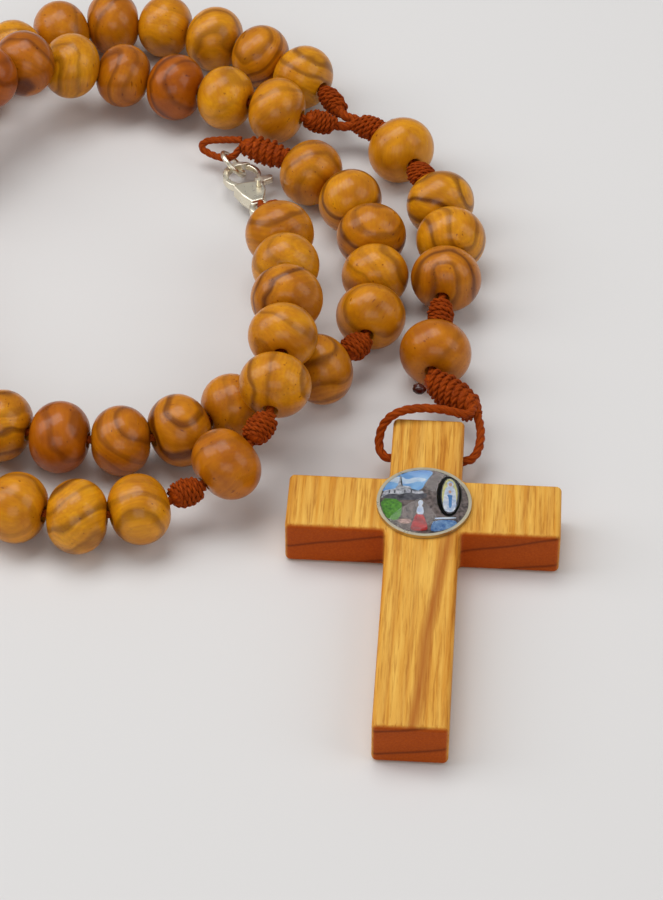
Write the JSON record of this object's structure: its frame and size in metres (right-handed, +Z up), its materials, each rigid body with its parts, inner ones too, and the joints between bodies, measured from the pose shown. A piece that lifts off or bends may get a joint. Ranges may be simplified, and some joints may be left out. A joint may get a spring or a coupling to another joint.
{
  "type": "rosary",
  "caption": "Closed string of oblate wooden beads on knotted twisted cord, with a lobster clasp and a flat wooden cross with a round domed medallion.",
  "frame": {"origin": "centre of the cross's flat back, where the middle lines of its two bars cross; everything lies on Z = 0", "axes": "+X along the crossbar, +Y up the cross's upright towards the beads (the longest extent), +Z up from the surface (the shortest extent)"},
  "size_m": [0.0966, 0.1212, 0.0162],
  "materials": {
    "bead_wood": "semi-gloss varnished olive wood with bold dark grain",
    "cross_wood": "sanded satin olive wood, grain along the upright",
    "cord": "twisted three-ply nylon cord, melted at the cut ends",
    "clasp_metal": "polished pale gold plating",
    "medal_metal": "polished thin rim",
    "medal_print": "printed paper picture under resin",
    "medal_resin": "clear glossy epoxy dome"
  },
  "bodies": {
    "centre": {"centre_knot": "cord", "under_branch_cord": "cord", "over_branch_cord": "cord", "centre_father_cord": "cord", "over_first_father_cord": "cord", "under_first_father_cord": "cord", "under_second_father_cord": "cord"},
    "under_first_father_bead": {"under_first_father_bead": "bead_wood"},
    "under_second_father_bead": {"under_second_father_bead": "bead_wood"},
    "over_first_father_bead": {"over_first_father_bead": "bead_wood"},
    "over_second_father_bead": {"over_second_father_bead": "bead_wood"},
    "centre_father_bead": {"centre_father_bead": "bead_wood"},
    "under_first_decade": {"under_branch_knot": "cord", "under_first_decade": "bead_wood", "under_first_cord": "cord", "under_first_end_knot": "cord"},
    "under_second_decade": {"under_second_start_knot": "cord", "under_second_decade": "bead_wood", "under_second_cord": "cord", "under_second_end_knot": "cord"},
    "over_first_decade": {"over_branch_knot": "cord", "over_first_decade": "bead_wood", "over_first_cord": "cord", "over_first_end_knot": "cord"},
    "over_second_decade": {"over_second_start_knot": "cord", "over_second_decade": "bead_wood", "over_second_cord": "cord", "over_second_end_knot": "cord"},
    "clasp_end": {"over_second_father_cord": "cord", "over_last_start_knot": "cord", "over_last_five": "bead_wood", "over_last_cord": "cord", "over_last_knot": "cord", "clasp_tie_cord": "cord", "clasp_claw": "clasp_metal", "clasp_rivet": "clasp_metal", "clasp_spring": "clasp_metal", "loop_cord": "cord", "under_last_knot": "cord", "under_last_cord": "cord", "under_last_five": "bead_wood", "under_last_start_knot": "cord"},
    "clasp_lever": {"clasp_lever": "clasp_metal"},
    "jump_ring": {"jump_ring": "clasp_metal"},
    "pendant_upper_knot": {"pendant_upper_knot": "cord"},
    "pendant_row": {"pendant_bead_cord": "cord"},
    "pendant_bead_1": {"pendant_bead_1": "bead_wood"},
    "pendant_bead_2": {"pendant_bead_2": "bead_wood"},
    "pendant_bead_3": {"pendant_bead_3": "bead_wood"},
    "pendant_lower_knot": {"pendant_lower_knot": "cord"},
    "pendant_father_cord": {"pendant_father_cord": "cord"},
    "pendant_father_bead": {"pendant_father_bead": "bead_wood"},
    "cross_tie": {"cross_knot": "cord", "cross_loop_cord": "cord"},
    "cross": {"cross": "cross_wood", "medal_plate": "medal_metal", "medal_picture": "medal_print", "medal_dome": "medal_resin"}
  },
  "joints": [
    {"name": "under_first_father_bead_spin", "type": "hinge", "parent": "centre", "child": "under_first_father_bead", "pos_m": [-0.06591, 0.04945, 0.0042], "axis": [0.0282, -0.9996, 0], "continuous": true},
    {"name": "under_second_father_bead_spin", "type": "hinge", "parent": "centre", "child": "under_second_father_bead", "pos_m": [-0.01293, 0.02235, 0.0042], "axis": [0.7588, 0.6513, 0], "continuous": true},
    {"name": "over_first_father_bead_spin", "type": "hinge", "parent": "centre", "child": "over_first_father_bead", "pos_m": [-0.07681, 0.041, 0.00708], "axis": [-0.3093, -0.8777, -0.3661], "continuous": true},
    {"name": "over_second_father_bead_spin", "type": "hinge", "parent": "clasp_end", "child": "over_second_father_bead", "pos_m": [-0.02206, 0.00431, 0.0063], "axis": [0.7028, 0.6271, 0.3359], "continuous": true},
    {"name": "centre_father_bead_spin", "type": "hinge", "parent": "centre", "child": "centre_father_bead", "pos_m": [-0.00554, 0.06225, 0.00411], "axis": [-0.5108, 0.8591, -0.0322], "continuous": true},
    {"name": "over_first_decade_swing", "type": "hinge", "parent": "centre", "child": "over_first_decade", "pos_m": [-0.01153, 0.06772, 0.00373], "axis": [0.9361, 0.3452, -0.0674], "range_deg": [0, 30], "deforming": ["over_branch_cord"]},
    {"name": "under_first_decade_swing", "type": "hinge", "parent": "centre", "child": "under_first_decade", "pos_m": [-0.01153, 0.06772, 0.00373], "axis": [0.965, 0.2622, -0.0083], "range_deg": [0, 9], "deforming": ["under_branch_cord"]},
    {"name": "over_second_decade_swing", "type": "hinge", "parent": "centre", "child": "over_second_decade", "pos_m": [-0.0245, 0.00213, 0.00513], "axis": [-0.8304, 0.5571, 0.0105], "range_deg": [-30, 25]},
    {"name": "under_second_decade_swing", "type": "hinge", "parent": "centre", "child": "under_second_decade", "pos_m": [-0.01556, 0.02009, 0.0042], "axis": [-0.889, 0.4579, 0], "range_deg": [-30, 0]},
    {"name": "clasp_end_lift", "type": "hinge", "parent": "centre", "child": "clasp_end", "pos_m": [-0.0174, 0.01337, 0.00467], "axis": [0.5343, 0.8453, 0], "range_deg": [0, 35]},
    {"name": "clasp_lever_press", "type": "hinge", "parent": "clasp_end", "child": "clasp_lever", "pos_m": [-0.02267, 0.05568, 0.0022], "axis": [0, 0, 1], "range_deg": [0, 12], "stiffness_Nm_per_rad": 0.00002, "deforming": ["clasp_spring"]},
    {"name": "jump_ring_swing", "type": "hinge", "parent": "clasp_end", "child": "jump_ring", "pos_m": [-0.02688, 0.06096, 0.0022], "axis": [0.9107, 0.4131, 0], "range_deg": [-5, 5]},
    {"name": "pendant_lift", "type": "hinge", "parent": "centre", "child": "pendant_upper_knot", "pos_m": [-0.00377, 0.05927, 0.00422], "axis": [-1, 0, 0], "range_deg": [-25, 35]},
    {"name": "pendant_turn", "type": "hinge", "parent": "pendant_upper_knot", "child": "pendant_row", "pos_m": [-0.0018, 0.05556, 0.00419], "axis": [0, 0, 1], "range_deg": [0, 25]},
    {"name": "pendant_bead_1_spin", "type": "hinge", "parent": "pendant_row", "child": "pendant_bead_1", "pos_m": [0.00092, 0.03837, 0.00457], "axis": [0.0965, 0.9946, 0.0377], "continuous": true},
    {"name": "pendant_bead_2_spin", "type": "hinge", "parent": "pendant_row", "child": "pendant_bead_2", "pos_m": [0.00123, 0.04549, 0.00447], "axis": [-0.0114, 0.9978, -0.0647], "continuous": true},
    {"name": "pendant_bead_3_spin", "type": "hinge", "parent": "pendant_row", "child": "pendant_bead_3", "pos_m": [-0.0003, 0.05231, 0.00422], "axis": [-0.417, 0.9089, -0.0078], "continuous": true},
    {"name": "cross_chain_lift", "type": "hinge", "parent": "pendant_row", "child": "pendant_lower_knot", "pos_m": [0.00058, 0.03481, 0.00444], "axis": [-1, 0, 0], "range_deg": [-25, 35]},
    {"name": "cross_chain_turn", "type": "hinge", "parent": "pendant_lower_knot", "child": "pendant_father_cord", "pos_m": [0.0005, 0.02942, 0.00413], "axis": [0, 0, 1], "range_deg": [-4, 20]},
    {"name": "pendant_father_bead_spin", "type": "hinge", "parent": "pendant_father_cord", "child": "pendant_father_bead", "pos_m": [0.0002, 0.02596, 0.00417], "axis": [0.0859, 0.9963, -0.0099], "continuous": true},
    {"name": "cross_tie_lift", "type": "hinge", "parent": "pendant_father_cord", "child": "cross_tie", "pos_m": [-0.0001, 0.0225, 0.0042], "axis": [-1, 0, 0], "range_deg": [-20, 35]},
    {"name": "cross_swing", "type": "hinge", "parent": "cross_tie", "child": "cross", "pos_m": [0, 0.0096, 0.0029], "axis": [-1, 0, 0], "range_deg": [0, 70]}
  ],
  "couplings": [
    {"joint": "under_first_decade_swing", "follows": "over_first_decade_swing", "ratio": 0.3}
  ]
}
